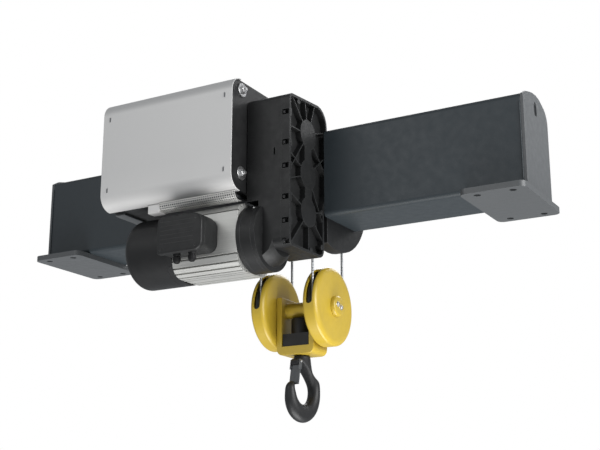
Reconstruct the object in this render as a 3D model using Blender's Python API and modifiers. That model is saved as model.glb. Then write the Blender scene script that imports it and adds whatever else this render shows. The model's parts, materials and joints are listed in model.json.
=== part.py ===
"""Foot-mounted electric wire rope hoist: box beam frame, gearbox, brake motor,
control panel, rope drum inside the beam and a two-sheave hook block.

Metres. +X along the beam, -Y towards the motor side, +Z up. The origin is the
middle of the plane that the two feet stand on.
"""
import math

import bmesh
import bpy
from mathutils import Matrix, Vector

# ---------------------------------------------------------------- dimensions
GAP = 0.0004                       # clearance between parts that are bolted together

# frame
HALF_LENGTH = 1.000                # outer face of each end plate
BEAM_HALF_DEPTH = 0.125
BEAM_BOTTOM = 0.020
BEAM_TOP = 0.340
BEAM_WALL = 0.008
BEAM_BEND = 0.018                  # outer bend radius of the folded box
END_PLATE = 0.012
END_PLATE_CROWN = 0.372            # top of the arched end plate
SLOT_WIDTH, SLOT_HEIGHT, SLOT_Z = 0.028, 0.050, 0.318
FOOT_INNER, FOOT_OUTER = 0.788, 1.010
FOOT_HALF_DEPTH = 0.189
FOOT_THICKNESS = 0.0196
FOOT_HOLES_X = (0.840, 0.960)
FOOT_HOLE_Y = 0.156
FOOT_HOLE_R = 0.012
ROPE_SLOT_START = -0.250           # rope opening in the beam's underside
ROPE_SLOT_HALF = 0.1165

# gear case, a thick disc between the two beams
CASE_X0, CASE_X1 = 0.2184, 0.2616
CASE_R, CASE_Y, CASE_Z = 0.228, -0.020, 0.145
CASE_TOP = 0.345

# gearbox
BOX_X0, BOX_X1 = 0.094, 0.228
BOX_LOW_X0 = 0.1406                # the lower half is narrower, where the motor bolts on
BOX_STEP_Z = 0.034
BOX_Y0, BOX_Y1 = -0.364, -0.1256
BOX_Z0, BOX_Z1 = -0.135, 0.418
BOX_FALL = 0.015                   # the top is this much lower at the front
COVER_X0, COVER_X1 = 0.2284, 0.2616
COVER_Y1 = -0.100                  # the cover reaches further back, in front of the gear case
COVER_WALL = 0.009
COVER_FLOOR = 0.010
RIB = 0.0035
HUBS = ((-0.234, 0.288, 0.053), (-0.235, 0.141, 0.052), (-0.2316, 0.008, 0.052))   # y, z, radius
RIB_ANGLES = ((20, 68, 100, 135, 182, 232, 318), (38, 158, 200, 305), (12, 162, 228, 270, 322))
COVER_BOLT_Z = (0.334, 0.225, 0.142, 0.033, -0.049, -0.119)

# motor
MOTOR_Y, MOTOR_Z = -0.298, -0.084
BRAKE_X0, MOTOR_X0, MOTOR_X1, FLANGE_X1 = -0.387, -0.182, 0.0817, 0.140
BRAKE_R, FLANGE_R = 0.1255, 0.117
COLLAR_X1 = 0.156
MOTOR_HALF_Y, MOTOR_HALF_Z, MOTOR_CORNER = 0.105, 0.118, 0.055
GROOVES_UP = (0.0880, 0.1120, 0.1340, 0.1560, 0.1780)       # along the outline from the front's middle
GROOVES_DOWN = (0.0655, 0.0920, 0.1140, 0.1360, 0.1580, 0.1800)
GROOVE_HALF, GROOVE_DEPTH = 0.0028, 0.010
TERMINAL_X0, TERMINAL_X1 = -0.177, 0.006
TERMINAL_Y0, TERMINAL_Y1 = -0.502, -0.4034
TERMINAL_Z0, TERMINAL_Z1 = -0.141, -0.016
LID_DEPTH, LID_DROP = 0.020, 0.007
GLAND_X, GLAND_Y = (-0.116, -0.054), -0.466

# control panel
PANEL_X0, PANEL_X1 = -0.460, 0.0935
PANEL_Z0, PANEL_Z1 = 0.0625, 0.467
PANEL_FRONT, PANEL_LIP, PANEL_BACK = -0.4645, -0.4075, -0.168
PANEL_BEND = 0.055
PANEL_INSET = 0.0035
PANEL_SKIN = 0.003
PANEL_BOLT_Y = -0.398
PANEL_BOLT_Z = (0.128, 0.430)

# ropes, drum and hook block
ROPE_R = 0.0045
FALL_R = 0.110                     # rope centre line on drum and sheaves
FALL_X = (-0.003, 0.207)           # the two sheaves' middle planes
DRUM_Z = 0.180
DRUM_R = 0.1050
DRUM_X0, DRUM_X1 = -0.280, 0.2135
DRUM_SHAFT_R = 0.030
BEARING_PLATE_X = -0.320
SHEAVE_Z = -0.275
SHEAVE_R, SHEAVE_HALF = 0.1245, 0.015
HOUSING_R, HOUSING_HALF = 0.140, 0.030
HOUSING_WALL = 0.004
AXLE_R = 0.020
RUN = 0.0006                       # radial running clearance

STRAP, STRAP_HALF = 0.020, 0.050   # the yoke's two straps
YOKE_TOP, YOKE_BOTTOM, YOKE_FLOOR = -0.232, -0.440, -0.410
SPACER_R = 0.028                   # tube round the axle, between the straps

HOOK_X = 0.102
SHANK_R = 0.025
BOWL_Z, BOWL_R = -0.563, 0.0475
HOOK_TURN = math.radians(261.0)    # the way the hook tip points, from +X
LATCH_PIVOT = (0.031, -0.464)      # along the tip direction, and up

# ---------------------------------------------------------------- helpers
for old in list(bpy.data.objects):
    bpy.data.objects.remove(old)

parts = bpy.data.collections.new("wire_rope_hoist")
cutters = bpy.data.collections.new("cutters")
bpy.context.scene.collection.children.link(parts)
bpy.context.scene.collection.children.link(cutters)


def material(name, colour, roughness, metallic):
    made = bpy.data.materials.new(name)
    made.use_nodes = True
    shader = made.node_tree.nodes["Principled BSDF"]
    shader.inputs["Base Color"].default_value = (*colour, 1.0)
    shader.inputs["Roughness"].default_value = roughness
    shader.inputs["Metallic"].default_value = metallic
    return made


SLATE = material("slate_paint", (0.045, 0.055, 0.062), 0.45, 0.0)
GREY = material("grey_paint", (0.22, 0.23, 0.24), 0.5, 0.0)
BLACK = material("black_cast", (0.018, 0.019, 0.02), 0.55, 0.0)
SILVER = material("silver_cover", (0.55, 0.54, 0.53), 0.42, 0.1)
ALUMINIUM = material("aluminium", (0.6, 0.6, 0.57), 0.4, 0.8)
STEEL = material("bright_steel", (0.6, 0.6, 0.6), 0.3, 1.0)
ROPE = material("rope_wire", (0.3, 0.31, 0.33), 0.45, 0.9)
YELLOW = material("yellow_paint", (0.72, 0.52, 0.05), 0.4, 0.0)
FORGED = material("forged_black", (0.03, 0.03, 0.032), 0.5, 0.3)


def finish(name, mesh, paint=None, turn=(0, 0, 0), place=(0, 0, 0)):
    """One object: a part when it has a paint, else a hidden cutter."""
    made = bpy.data.objects.new(name, mesh)
    made.location = place
    made.rotation_euler = turn
    if paint is None:
        cutters.objects.link(made)
        made.hide_render = True
        made.display_type = 'WIRE'
    else:
        parts.objects.link(made)
        made.data.materials.append(paint)
        mesh.shade_smooth()
        mesh.set_sharp_from_angle(angle=math.radians(32))
    return made


def box(name, low, high, paint=None, bevel=0.0, segments=2):
    mesh = bpy.data.meshes.new(name)
    work = bmesh.new()
    bmesh.ops.create_cube(work, size=1.0)
    size = [b - a for a, b in zip(low, high)]
    bmesh.ops.scale(work, vec=size, verts=work.verts)
    work.to_mesh(mesh)
    work.free()
    made = finish(name, mesh, paint, place=[(a + b) / 2 for a, b in zip(low, high)])
    if bevel:
        edge = made.modifiers.new("edges", 'BEVEL')
        edge.width = bevel
        edge.segments = segments
        edge.limit_method = 'ANGLE'
    return made


ALONG = {'X': (math.pi / 2, 0, math.pi / 2), 'Y': (math.pi / 2, 0, 0), 'Z': (0, 0, 0)}


def rod(name, axis, centre, radius, start, end, paint=None, sides=32):
    """A cylinder along X, Y or Z; centre holds its two other coordinates."""
    mesh = bpy.data.meshes.new(name)
    work = bmesh.new()
    bmesh.ops.create_cone(work, cap_ends=True, segments=sides, radius1=radius, radius2=radius,
                          depth=abs(end - start))
    work.to_mesh(mesh)
    work.free()
    place = list(centre)
    place.insert('XYZ'.index(axis), (start + end) / 2)
    return finish(name, mesh, paint, ALONG[axis], place)


def turned(name, axis, place, profile, paint=None, steps=36):
    """A lathe shape. The profile is (radius, height) down the outer side."""
    mesh = bpy.data.meshes.new(name)
    count = len(profile)
    closed = profile[0][0] > 0 and profile[-1][0] > 0
    edges = [(i, (i + 1) % count) for i in range(count if closed else count - 1)]
    mesh.from_pydata([(r, 0, h) for r, h in profile], edges, [])
    made = finish(name, mesh, paint, ALONG[axis], place)
    screw = made.modifiers.new("turn", 'SCREW')
    screw.steps = steps
    screw.render_steps = steps
    screw.use_merge_vertices = True
    screw.merge_threshold = 0.00001
    screw.use_smooth_shade = True
    return made


def arc(cx, cy, radius, start, end, steps=5):
    """Points of an arc in degrees, both ends included."""
    turns = [math.radians(start + (end - start) * i / steps) for i in range(steps + 1)]
    return [(cx + radius * math.cos(t), cy + radius * math.sin(t)) for t in turns]


def rounded(x0, y0, x1, y1, radii, steps=5):
    """A rectangle with its own radius at low-left, low-right, high-right and high-left."""
    corners = ((x0, y0, 1, 1, 180), (x1, y0, -1, 1, 270), (x1, y1, -1, -1, 0), (x0, y1, 1, -1, 90))
    points = []
    for (x, y, sx, sy, start), radius in zip(corners, radii):
        points += arc(x + sx * radius, y + sy * radius, radius, start, start + 90, steps)
    return points


def plate(name, axis, start, end, loops, paint=None):
    """A flat outline, with any inner loops as holes, as thick as start to end along the axis."""
    curve = bpy.data.curves.new(name, 'CURVE')
    curve.dimensions = '2D'
    curve.fill_mode = 'BOTH'
    curve.extrude = abs(end - start) / 2
    for loop in loops:
        line = curve.splines.new('POLY')
        line.points.add(len(loop) - 1)
        for point, (u, v) in zip(line.points, loop):
            point.co = (u, v, 0, 1)
        line.use_cyclic_u = True
    place = [0, 0, 0]
    place['XYZ'.index(axis)] = (start + end) / 2
    return from_curve(name, curve, paint, ALONG[axis], place)


def from_curve(name, curve, paint, turn=(0, 0, 0), place=(0, 0, 0)):
    """The curve's surface as a welded mesh object."""
    guide = bpy.data.objects.new(name + "_curve", curve)
    cutters.objects.link(guide)
    bpy.context.view_layer.update()
    mesh = bpy.data.meshes.new_from_object(guide.evaluated_get(bpy.context.evaluated_depsgraph_get()))
    bpy.data.objects.remove(guide)
    work = bmesh.new()
    work.from_mesh(mesh)
    bmesh.ops.remove_doubles(work, verts=work.verts, dist=0.00001)
    bmesh.ops.recalc_face_normals(work, faces=work.faces)
    work.to_mesh(mesh)
    work.free()
    mesh.name = name
    mesh.materials.clear()
    return finish(name, mesh, paint, turn, place)


def tube(name, points, radius, paint, bevel_resolution=2):
    curve = bpy.data.curves.new(name, 'CURVE')
    curve.dimensions = '3D'
    curve.bevel_depth = radius
    curve.bevel_resolution = bevel_resolution
    curve.use_fill_caps = True
    line = curve.splines.new('POLY')
    line.points.add(len(points) - 1)
    for point, co in zip(line.points, points):
        point.co = (*co, 1)
    return from_curve(name, curve, paint)


def loft(name, rings, paint=None, turn=(0, 0, 0), place=(0, 0, 0)):
    """A closed body through rings that have the same number of points."""
    mesh = bpy.data.meshes.new(name)
    work = bmesh.new()
    rows = [[work.verts.new(point) for point in ring] for ring in rings]
    count = len(rows[0])
    for row, following in zip(rows, rows[1:]):
        for i in range(count):
            j = (i + 1) % count
            work.faces.new((row[i], row[j], following[j], following[i]))
    work.faces.new(rows[0])
    work.faces.new(rows[-1])
    bmesh.ops.recalc_face_normals(work, faces=work.faces)
    work.to_mesh(mesh)
    work.free()
    return finish(name, mesh, paint, turn, place)


def combine(target, tools, operation='DIFFERENCE'):
    """Boolean modifiers, one for each tool; a joined tool is hidden with the cutters."""
    for tool in tools:
        step = target.modifiers.new(tool.name, 'BOOLEAN')
        step.operation = operation
        step.object = tool
    return target


def empty(name, place):
    made = bpy.data.objects.new(name, None)
    made.location = place
    parts.objects.link(made)
    return made


def attach(children, parent):
    """Parents objects where they already are."""
    back = Matrix.Translation(-Vector(parent.location))
    for child in children:
        child.parent = parent
        child.matrix_parent_inverse = back


# ---------------------------------------------------------------- beam frame
def make_frame():
    d, wall, bend = BEAM_HALF_DEPTH, BEAM_WALL, BEAM_BEND
    outer = rounded(-d, BEAM_BOTTOM, d, BEAM_TOP, [bend] * 4, 6)
    inner = rounded(-d + wall, BEAM_BOTTOM + wall, d - wall, BEAM_TOP - wall, [bend - wall] * 4, 6)
    end = HALF_LENGTH - END_PLATE - GAP
    left = plate("left_beam", 'X', -end, CASE_X0 - GAP, [outer, inner], SLATE)
    slot = box("cut_rope_slot", (ROPE_SLOT_START, -ROPE_SLOT_HALF, -0.1), (0.3, ROPE_SLOT_HALF, 0.052))
    combine(left, [slot])
    right = plate("right_beam", 'X', CASE_X1 + GAP, end, [outer, inner], SLATE)

    made = [left, right]
    crown = END_PLATE_CROWN
    shoulder = BEAM_TOP - 0.014
    outline = [(-d, BEAM_BOTTOM + GAP), (d, BEAM_BOTTOM + GAP)]
    outline += arc(d - 0.060, shoulder - 0.030, 0.060, 0, 62, 5)
    outline += [(0.045, crown - 0.004), (0.012, crown), (-0.030, crown - 0.003), (-d + 0.03, BEAM_TOP + 0.012)]
    outline += [(-d, BEAM_TOP - 0.006)]
    half = (SLOT_HEIGHT - SLOT_WIDTH) / 2
    slot = arc(0, SLOT_Z + half, SLOT_WIDTH / 2, 0, 180, 6) + arc(0, SLOT_Z - half, SLOT_WIDTH / 2, 180, 360, 6)
    for side, name in ((-1, "left"), (1, "right")):
        inside, outside = side * (HALF_LENGTH - END_PLATE), side * HALF_LENGTH
        made.append(plate(name + "_end_plate", 'X', inside, outside, [outline, slot], GREY))
        x0, x1 = sorted((side * FOOT_INNER, side * FOOT_OUTER))
        y = FOOT_HALF_DEPTH
        foot = rounded(x0, -y, x1, y, [0.024] * 4, 4)
        holes = [arc(side * x, s * FOOT_HOLE_Y, FOOT_HOLE_R, 0, 345, 23) for x in FOOT_HOLES_X for s in (-1, 1)]
        made.append(plate(name + "_foot", 'Z', 0, FOOT_THICKNESS, [foot] + holes, GREY))
    return made


# ---------------------------------------------------------------- gears
def make_gear_case():
    face = plate("gear_case", 'X', CASE_X0, CASE_X1, [arc(CASE_Y, CASE_Z, CASE_R, 0, 352.5, 47)], BLACK)
    front = box("cut_case_front", (0.1, -0.4, -0.3), (0.4, BOX_Y1 + GAP, 0.6))
    step = box("cut_case_step", (BOX_X1, -0.4, -0.3), (0.4, COVER_Y1 + GAP, 0.6))
    top = box("cut_case_top", (0.1, -0.5, CASE_TOP), (0.4, 0.4, 0.6))
    bore = rod("cut_drum_seat", 'X', (0, DRUM_Z), DRUM_SHAFT_R + RUN, 0.1, 0.232)
    return combine(face, [front, step, top, bore])


def box_outline(inset=0.0, cover=False):
    """The gearbox seen along X: square towards the front, round at the top behind."""
    y0, z0, z1 = BOX_Y0 + inset, BOX_Z0 + inset, BOX_Z1 - inset
    low, high = BOX_Y1 - inset, (COVER_Y1 if cover else BOX_Y1) - inset
    a, b, c, d = [r - inset for r in (0.030, 0.034, 0.066, 0.020)]
    points = arc(y0 + a, z0 + a, a, 180, 270) + arc(low - b, z0 + b, b, 270, 360)
    if cover:
        points += [(low, 0.045 + inset * 0.4), (high, 0.100 + inset * 0.4)]
    return points + arc(high - c, z1 - c, c, 0, 90) + arc(y0 + d, z1 - BOX_FALL - d, d, 90, 180)


def bolt_pockets(x0, x1):
    return [rod(f"cut_bolt_pocket_{number}", 'X', (BOX_Y0 + 0.004, z), 0.0105, x0, x1, sides=16)
            for number, z in enumerate(COVER_BOLT_Z, 1)]


def make_gearbox():
    housing = plate("gearbox_housing", 'X', BOX_X0, BOX_X1, [box_outline()], BLACK)
    step = box("cut_motor_step", (0.0, -0.5, -0.3), (BOX_LOW_X0, 0.0, BOX_STEP_Z))
    combine(housing, [step])
    snout = turned("motor_snout", 'X', (BOX_LOW_X0, MOTOR_Y, MOTOR_Z),
                   [(0, 0.056), (0.070, 0.056), (0.088, 0.040), (0.100, 0.0156), (FLANGE_R, COLLAR_X1 - BOX_LOW_X0),
                    (FLANGE_R, 0), (0, 0)], None, 44)
    front = box("cut_snout_front", (COLLAR_X1 + 0.0002, -0.5, -0.3), (0.3, BOX_Y0 + GAP, 0.1))
    combine(snout, [front])
    combine(housing, [snout], 'UNION')

    cover = plate("gearbox_cover", 'X', COVER_X0, COVER_X1, [box_outline(0, True)], BLACK)
    hollow = plate("cut_cover_hollow", 'X', COVER_X0 + COVER_FLOOR, COVER_X1 + 0.01, [box_outline(COVER_WALL, True)])
    combine(cover, [hollow])
    floor = COVER_X0 + COVER_FLOOR / 2
    top = COVER_X1 - 0.0012
    spine = []
    for (y, z, radius), angles in zip(HUBS, RIB_ANGLES):
        spine.append(rod(f"hub_{z}", 'X', (y, z), radius, floor, top, sides=28))
        for angle in angles:
            spine.append(rib(y, z, radius * 0.8, angle, floor, top - 0.0008))
    upper, middle, lower = [hub[1] for hub in HUBS]
    spine.append(box("neck_top", (floor, -0.258, middle), (top - 0.0003, -0.211, upper)))
    spine.append(box("neck_low", (floor, -0.256, lower), (top - 0.0003, -0.210, middle)))
    for z in COVER_BOLT_Z[:-1]:
        spine.append(box(f"boss_{z}", (floor, BOX_Y0 + 0.0005, z - 0.0135), (top, BOX_Y0 + 0.0170, z + 0.0135)))
    combine(cover, spine, 'UNION')
    combine(cover, bolt_pockets(COVER_X0 + 0.0040, COVER_X1 - 0.0035))
    return [housing, cover]


def rib(y, z, start, angle, x0, x1):
    """A thin wall from a hub's rim to the cover's rim, at an angle from +Y towards +Z."""
    cos, sin = math.cos(math.radians(angle)), math.sin(math.radians(angle))
    rim = box_outline(COVER_WALL * 0.5, True)
    end = 1.0
    for (y0, z0), (y1, z1) in zip(rim, rim[1:] + rim[:1]):
        across = cos * (z1 - z0) - sin * (y1 - y0)
        if abs(across) > 1e-9:
            distance = ((y0 - y) * (z1 - z0) - (z0 - z) * (y1 - y0)) / across
            share = ((y0 - y) * sin - (z0 - z) * cos) / across
            if distance > 0 and 0 <= share <= 1:
                end = min(end, distance)
    length = end - start
    wall = box(f"rib_{z}_{angle}", (-(x1 - x0) / 2, -length / 2, -RIB / 2), ((x1 - x0) / 2, length / 2, RIB / 2))
    middle = (start + end) / 2
    wall.location = ((x0 + x1) / 2, y + cos * middle, z + sin * middle)
    wall.rotation_euler = (math.radians(angle), 0, 0)
    return wall


def make_cover_bolts():
    made = []
    for number, z in enumerate(COVER_BOLT_Z, 1):
        bolt = turned(f"cover_bolt_{number}", 'X', (BOX_X1 + 0.0083, BOX_Y0 + 0.004, z),
                      [(0, 0.0075), (0.0045, 0.0075), (0.0068, 0.0062), (0.0068, 0.0002), (0, 0.0002)], STEEL, 12)
        made.append(bolt)
    return made


# ---------------------------------------------------------------- motor
def on_motor(distance, depth):
    """A point (outwards, along Z) of the rounded square stator, at a distance along its outline."""
    flat_y, flat_z = MOTOR_HALF_Y - MOTOR_CORNER, MOTOR_HALF_Z - MOTOR_CORNER
    bend = MOTOR_CORNER * math.pi / 2
    if distance < flat_z:
        return MOTOR_HALF_Y - depth, distance
    if distance > flat_z + bend:
        return flat_y - (distance - flat_z - bend), MOTOR_HALF_Z - depth
    turn = (distance - flat_z) / MOTOR_CORNER
    reach = MOTOR_CORNER - depth
    return flat_y + reach * math.cos(turn), flat_z + reach * math.sin(turn)


def make_motor():
    here = (MOTOR_Y, MOTOR_Z)
    points = []
    for side, grooves in ((1, GROOVES_DOWN), (-1, GROOVES_UP)):
        for back in (False, True):
            run = []
            for distance in grooves:
                for along, deep in ((-1, 0), (-1, 1), (1, 1), (1, 0)):
                    y, z = on_motor(distance + along * GROOVE_HALF, deep * GROOVE_DEPTH)
                    run.append((here[0] + (y if back else -y), here[1] - side * z))
            points.append(run)
    down_front, down_back, up_front, up_back = points
    outline = down_front + down_back[::-1] + up_back + up_front[::-1]
    body = plate("motor_body", 'X', MOTOR_X0 + GAP, MOTOR_X1 - GAP, [outline], ALUMINIUM)

    length = MOTOR_X0 - BRAKE_X0
    r = BRAKE_R
    profile = [(0, length), (r, length), (r, 0.034)]
    profile += [(r - 0.034 + 0.034 * math.cos(t), 0.034 - 0.034 * math.sin(t))
                for t in [math.radians(a) for a in (22, 45, 68, 90)]]
    profile += [(r - 0.060, 0.0), (r - 0.064, 0.004), (0, 0.004)]
    brake = turned("brake_cover", 'X', (BRAKE_X0, *here), profile, BLACK, 44)

    depth = FLANGE_X1 - MOTOR_X1
    flange = turned("motor_flange", 'X', (MOTOR_X1, *here),
                    [(0, depth), (FLANGE_R, depth), (FLANGE_R, 0), (0, 0)], BLACK, 44)
    return [body, brake, flange]


def make_terminal_box():
    x0, x1, z0, z1 = TERMINAL_X0, TERMINAL_X1, TERMINAL_Z0, TERMINAL_Z1
    split = TERMINAL_Y0 + LID_DEPTH
    corner = (0.012, 0.030, 0.040, 0.018)
    base = plate("terminal_box", 'Y', split + GAP, TERMINAL_Y1, [rounded(x0, z0, x1, z1, corner, 5)], BLACK)
    lid = plate("terminal_box_lid", 'Y', TERMINAL_Y0, split, [rounded(x0 + 0.001, z0 - LID_DROP, x1 - 0.001,
                                                                      z1 - 0.001, corner, 5)], BLACK)
    edge = lid.modifiers.new("edge", 'BEVEL')
    edge.width = 0.006
    edge.segments = 2
    edge.limit_method = 'ANGLE'
    edge.angle_limit = math.radians(60)
    made = [base, lid]
    for number, x in enumerate(GLAND_X, 1):
        top = z0 - GAP
        made.append(turned(f"cable_gland_{number}", 'Z', (x, GLAND_Y, top),
                           [(0, 0), (0.0145, 0), (0.0145, -0.010), (0.0120, -0.012), (0.0140, -0.014),
                            (0.0140, -0.027), (0.0100, -0.034), (0.0060, -0.034), (0.0060, -0.024), (0, -0.024)],
                           BLACK, 16))
    return made


# ---------------------------------------------------------------- control panel
def panel_profile(inset, back):
    """The panel seen along X, from its low back corner round the two front bends to the high one."""
    front, low, high = PANEL_FRONT + inset, PANEL_Z0 + inset, PANEL_Z1 - inset
    r = PANEL_BEND - inset
    return [(back, low)] + arc(front + r, low + r, r, 270, 180, 6) + arc(front + r, high - r, r, 180, 90, 6) + [(back, high)]


def make_panel():
    x0, x1, z0, z1 = PANEL_X0, PANEL_X1, PANEL_Z0, PANEL_Z1
    t, skin = PANEL_INSET, PANEL_SKIN
    sheet = panel_profile(0, PANEL_LIP) + panel_profile(skin, PANEL_LIP)[::-1]
    cover = plate("panel_cover", 'X', x0, x1, [sheet], SILVER)
    case = plate("panel_case", 'X', x0 + t, x1 - t, [panel_profile(skin + GAP, PANEL_BACK)], BLACK)
    hollow = box("cut_panel_case", (x0 + t + skin, PANEL_FRONT - 0.1, z0 + 2 * skin + GAP),
                 (x1 - t - skin, PANEL_BACK - skin, z1 - 2 * skin - GAP))
    combine(case, [hollow])
    made = [cover, case]

    for number, z in enumerate(PANEL_BOLT_Z, 1):
        made.append(turned(f"panel_bolt_{number}", 'X', (x1 - t + GAP, PANEL_BOLT_Y, z),
                           [(0, 0.020), (0.0115, 0.020), (0.0135, 0.018), (0.0135, 0.0055), (0.0235, 0.0050),
                            (0.0245, 0.0035), (0.0245, 0), (0, 0)], STEEL, 24))
    spots = [(x, z) for x in (x0 + 0.030, x1 - 0.030) for z in (z0 + 0.0655, z1 - 0.072)]
    for number, (x, z) in enumerate(spots, 1):
        made.append(box(f"panel_screw_{number}", (x - 0.0035, PANEL_FRONT - 0.0022, z - 0.009),
                        (x + 0.0035, PANEL_FRONT - GAP, z + 0.009), STEEL, 0.0008, 1))

    for name, low, high in (("left", -0.456, -0.414), ("right", 0.020, 0.060)):
        arm = box(f"panel_arm_{name}", (low, -0.380, 0.0575), (high, -0.1254, 0.0655), GREY, 0.0012, 1)
        toe = box(f"arm_toe_{name}", (low, -0.1374, 0.0580), (high, -0.1254, 0.180))
        made.append(combine(arm, [toe], 'UNION'))
    return made


def make_resistor():
    """The curved perforated guard under the panel, with its small connection box."""
    front, back, low, high = -0.4265, -0.384, 0.034, 0.0621
    bend, wall = 0.026, 0.0020
    quarter = arc(front + bend, low + bend, bend, 270, 180, 4)
    inside = arc(front + bend, low + bend, bend - wall, 180, 270, 4)
    outline = [(back, low)] + quarter + [(front, high), (front + wall, high)] + inside + [(back, low + wall)]
    guard = plate("resistor_guard", 'X', -0.2280, 0.085, [outline], ALUMINIUM)
    socket = box("resistor_box", (-0.2785, -0.4230, 0.0302), (-0.2286, -0.384, 0.0621), SILVER, 0.002, 1)
    core = rod("brake_resistor", 'X', (-0.4030, 0.0490), 0.0105, -0.2282, 0.078, STEEL, 12)
    return [guard, socket, core]


# ---------------------------------------------------------------- drum and ropes
def make_drum():
    length = DRUM_X1 - DRUM_X0
    shaft = DRUM_SHAFT_R
    drum = turned("rope_drum", 'X', (DRUM_X0, 0, DRUM_Z),
                  [(0, length + 0.010), (shaft, length + 0.010), (shaft, length), (DRUM_R, length), (DRUM_R, 0.014),
                   (0.114, 0.013), (0.114, 0), (shaft, 0), (shaft, -0.050), (0, -0.050)], STEEL, 40)
    windings = []
    for name, x0, x1 in (("left", -0.196, -0.0095), ("right", 0.014, 0.2005)):
        inner, outer = DRUM_R + 0.0004, DRUM_R + 2 * ROPE_R
        windings.append(turned(f"rope_winding_{name}", 'X', (x0, 0, DRUM_Z),
                               [(outer, x1 - x0), (outer, 0), (inner, 0), (inner, x1 - x0)], ROPE, 40))
    return [drum] + windings


def make_drum_bearing():
    y = BEAM_HALF_DEPTH - BEAM_WALL - GAP
    z0, z1 = BEAM_BOTTOM + BEAM_WALL + GAP, BEAM_TOP - BEAM_WALL - GAP
    bend = BEAM_BEND - BEAM_WALL
    bore = arc(0, DRUM_Z, DRUM_SHAFT_R + 0.0012, 0, 345, 23)
    return plate("drum_bearing_plate", 'X', BEARING_PLATE_X, BEARING_PLATE_X + 0.016,
                 [rounded(-y, z0, y, z1, [bend] * 4, 4), bore], GREY)


ANCHOR_Z0, ANCHOR_Z1 = 0.040, 0.085


def make_falls():
    made = []
    for side, x in zip(("left", "right"), FALL_X):
        made.append(tube(f"{side}_front_fall", [(x, -FALL_R, DRUM_Z), (x, -FALL_R, SHEAVE_Z + GAP)], ROPE_R, ROPE))
        made.append(tube(f"{side}_rear_fall", [(x, FALL_R, ANCHOR_Z0 - GAP), (x, FALL_R, SHEAVE_Z + GAP)], ROPE_R, ROPE))
    return made


def make_anchors():
    return [box(f"{side}_rope_anchor", (x - (0.016 if side == "left" else 0.010), 0.090, ANCHOR_Z0),
                (x + (0.016 if side == "left" else 0.010), 0.1163, ANCHOR_Z1), STEEL, 0.003, 1)
            for side, x in zip(("left", "right"), FALL_X)]


# ---------------------------------------------------------------- hook block
def make_sheave_set(side, x):
    r, half, wall = HOUSING_R, HOUSING_HALF, HOUSING_WALL
    away = -1 if side == "left" else 1
    place = (x, 0, SHEAVE_Z)
    bore = AXLE_R + RUN
    shell = turned(f"{side}_sheave_housing", 'X', place,
                   [(bore, half), (r - 0.022, half), (r - 0.007, half - 0.005), (r, half - 0.013),
                    (r, -half + 0.013), (r - 0.007, -half + 0.005), (r - 0.022, -half), (bore, -half)], YELLOW, 36)
    cavity = turned(f"cut_{side}_cavity", 'X', place,
                    [(0, half - wall), (r - 0.026, half - wall), (r - 0.009, half - 0.0095), (r - wall - 0.003, half - 0.015),
                     (r - wall - 0.003, -half + 0.015), (r - 0.009, -half + 0.0095), (r - 0.026, -half + wall),
                     (0, -half + wall)], None, 24)
    windows = []
    for face in (-1, 1):
        y0, y1 = sorted((face * 0.062, face * 0.2))
        low, w = SHEAVE_Z - 0.010, 0.0135
        loop = arc(x, low + w, w, 180, 360, 6) + [(x + w, 0), (x - w, 0)]
        windows.append(plate(f"cut_{side}_window_{face}", 'Y', y0, y1, [loop]))
    combine(shell, [cavity] + windows)

    groove = FALL_R - ROPE_R - GAP
    sheave = turned(f"{side}_sheave", 'X', place,
                    [(SHEAVE_R, SHEAVE_HALF), (groove, 0.0042), (groove, -0.0042), (SHEAVE_R, -SHEAVE_HALF),
                     (0.094, -SHEAVE_HALF), (0.090, -0.007), (0.040, -0.007), (0.036, -0.0185), (bore, -0.0185),
                     (bore, 0.0185), (0.036, 0.0185), (0.040, 0.007), (0.090, 0.007), (0.094, SHEAVE_HALF)],
                    STEEL, 32)

    count = 22
    turns = [math.pi + math.pi * i / count for i in range(count + 1)]
    points = [(x, FALL_R * math.cos(t), SHEAVE_Z + FALL_R * math.sin(t)) for t in turns]
    wrap = tube(f"{side}_rope_wrap", points, ROPE_R, ROPE)

    start = x + away * (half + GAP)
    profile = [(0, 0.0165), (0.030, 0.0165), (0.036, 0.0125), (0.037, 0), (0, 0)]
    if away < 0:
        profile = [(0, 0), (0.037, 0), (0.036, -0.0125), (0.030, -0.0165), (0, -0.0165)]
    cap = turned(f"{side}_axle_cap", 'X', (start, 0, SHEAVE_Z), profile, YELLOW, 28)
    return [shell, wrap, cap], sheave


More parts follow.
